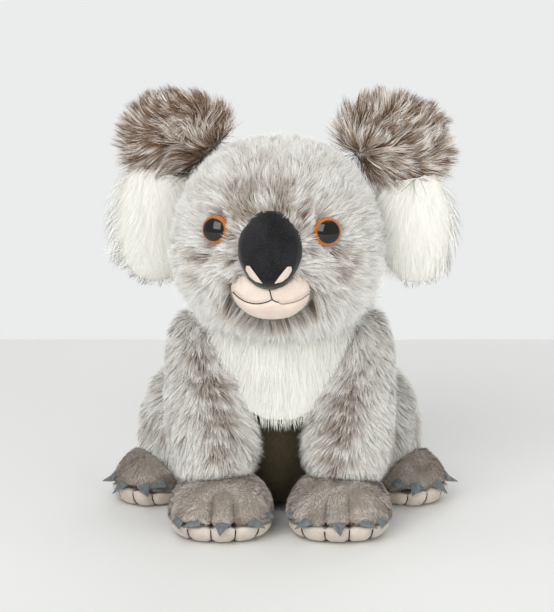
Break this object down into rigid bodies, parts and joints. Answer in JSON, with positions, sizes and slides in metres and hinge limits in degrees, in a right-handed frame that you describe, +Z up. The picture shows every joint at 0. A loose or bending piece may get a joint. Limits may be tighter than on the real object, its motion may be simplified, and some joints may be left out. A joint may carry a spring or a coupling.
{
  "type": "plush koala",
  "caption": "Seated plush koala: stuffed torso, head and limbs, folding fringed ears, velour nose and muzzle, domed eyes and felt claws.",
  "frame": {"origin": "middle of the seat on the floor", "axes": "+Z up; the koala faces -Y; its own left side is at +X"},
  "size_m": [0.2268, 0.1723, 0.2625],
  "materials": {
    "grey_plush": "long frosted pile",
    "ear_plush": "long two-tone pile",
    "white_plush": "long straight pile",
    "paw_plush": "short pile",
    "sole_plush": "short pile",
    "nose_velour": "velour",
    "muzzle_velour": "velour",
    "nostril_velour": "velour",
    "claw_felt": "felt",
    "eye_acrylic": "polished",
    "washer_plastic": "moulded",
    "stuffing": "loose fibre",
    "bag_cloth": "woven cloth"
  },
  "bodies": {
    "torso": {"torso": "grey_plush", "pellet_bag": "bag_cloth", "torso_filling": "stuffing", "chest_bib": "white_plush"},
    "head": {"head": "grey_plush", "head_filling": "stuffing", "eye_left": "eye_acrylic", "eye_washer_left": "washer_plastic", "eye_right": "eye_acrylic", "eye_washer_right": "washer_plastic", "nose": "nose_velour", "muzzle": "muzzle_velour", "nostril_left": "nostril_velour", "nostril_right": "nostril_velour"},
    "ear_left": {"ear_left": "ear_plush", "ear_fringe_left": "white_plush"},
    "ear_right": {"ear_right": "ear_plush", "ear_fringe_right": "white_plush"},
    "arm_left": {"arm_left": "grey_plush", "paw_left": "paw_plush", "paw_sole_left": "sole_plush", "front_claw_left_1": "claw_felt", "front_claw_left_2": "claw_felt", "front_claw_left_3": "claw_felt", "front_claw_left_4": "claw_felt", "front_claw_left_5": "claw_felt"},
    "arm_right": {"arm_right": "grey_plush", "paw_right": "paw_plush", "paw_sole_right": "sole_plush", "front_claw_right_1": "claw_felt", "front_claw_right_2": "claw_felt", "front_claw_right_3": "claw_felt", "front_claw_right_4": "claw_felt", "front_claw_right_5": "claw_felt"},
    "leg_left": {"leg_left": "grey_plush", "foot_left": "paw_plush", "foot_sole_left": "sole_plush", "hind_claw_left_1": "claw_felt", "hind_claw_left_2": "claw_felt", "hind_claw_left_3": "claw_felt", "hind_claw_left_4": "claw_felt", "hind_claw_left_5": "claw_felt"},
    "leg_right": {"leg_right": "grey_plush", "foot_right": "paw_plush", "foot_sole_right": "sole_plush", "hind_claw_right_1": "claw_felt", "hind_claw_right_2": "claw_felt", "hind_claw_right_3": "claw_felt", "hind_claw_right_4": "claw_felt", "hind_claw_right_5": "claw_felt"}
  },
  "joints": [
    {"name": "neck_turn", "type": "hinge", "parent": "torso", "child": "head", "pos_m": [-0.0015, -0.00809, 0.14375], "axis": [0, -0.4226, 0.9063], "range_deg": [-20, 20], "stiffness_Nm_per_rad": 0.5},
    {"name": "ear_fold_left", "type": "hinge", "parent": "head", "child": "ear_left", "pos_m": [0.05521, -0.00539, 0.21], "axis": [0.2412, -0.019, -0.9703], "range_deg": [-20, 8], "stiffness_Nm_per_rad": 0.03},
    {"name": "ear_fold_right", "type": "hinge", "parent": "head", "child": "ear_right", "pos_m": [-0.04847, 0.00277, 0.21], "axis": [0.2412, -0.019, 0.9703], "range_deg": [-20, 8], "stiffness_Nm_per_rad": 0.03},
    {"name": "shoulder_left", "type": "hinge", "parent": "torso", "child": "arm_left", "pos_m": [0.0485, -0.014, 0.116], "axis": [-1, 0, 0], "range_deg": [0, 26], "stiffness_Nm_per_rad": 0.3},
    {"name": "shoulder_right", "type": "hinge", "parent": "torso", "child": "arm_right", "pos_m": [-0.0485, -0.014, 0.116], "axis": [-1, 0, 0], "range_deg": [0, 26], "stiffness_Nm_per_rad": 0.3},
    {"name": "hip_left", "type": "hinge", "parent": "torso", "child": "leg_left", "pos_m": [0.055, 0.038, 0.044], "axis": [-1, 0, 0], "range_deg": [-15, 12], "stiffness_Nm_per_rad": 0.2},
    {"name": "hip_right", "type": "hinge", "parent": "torso", "child": "leg_right", "pos_m": [-0.055, 0.038, 0.044], "axis": [-1, 0, 0], "range_deg": [-15, 12], "stiffness_Nm_per_rad": 0.2}
  ]
}
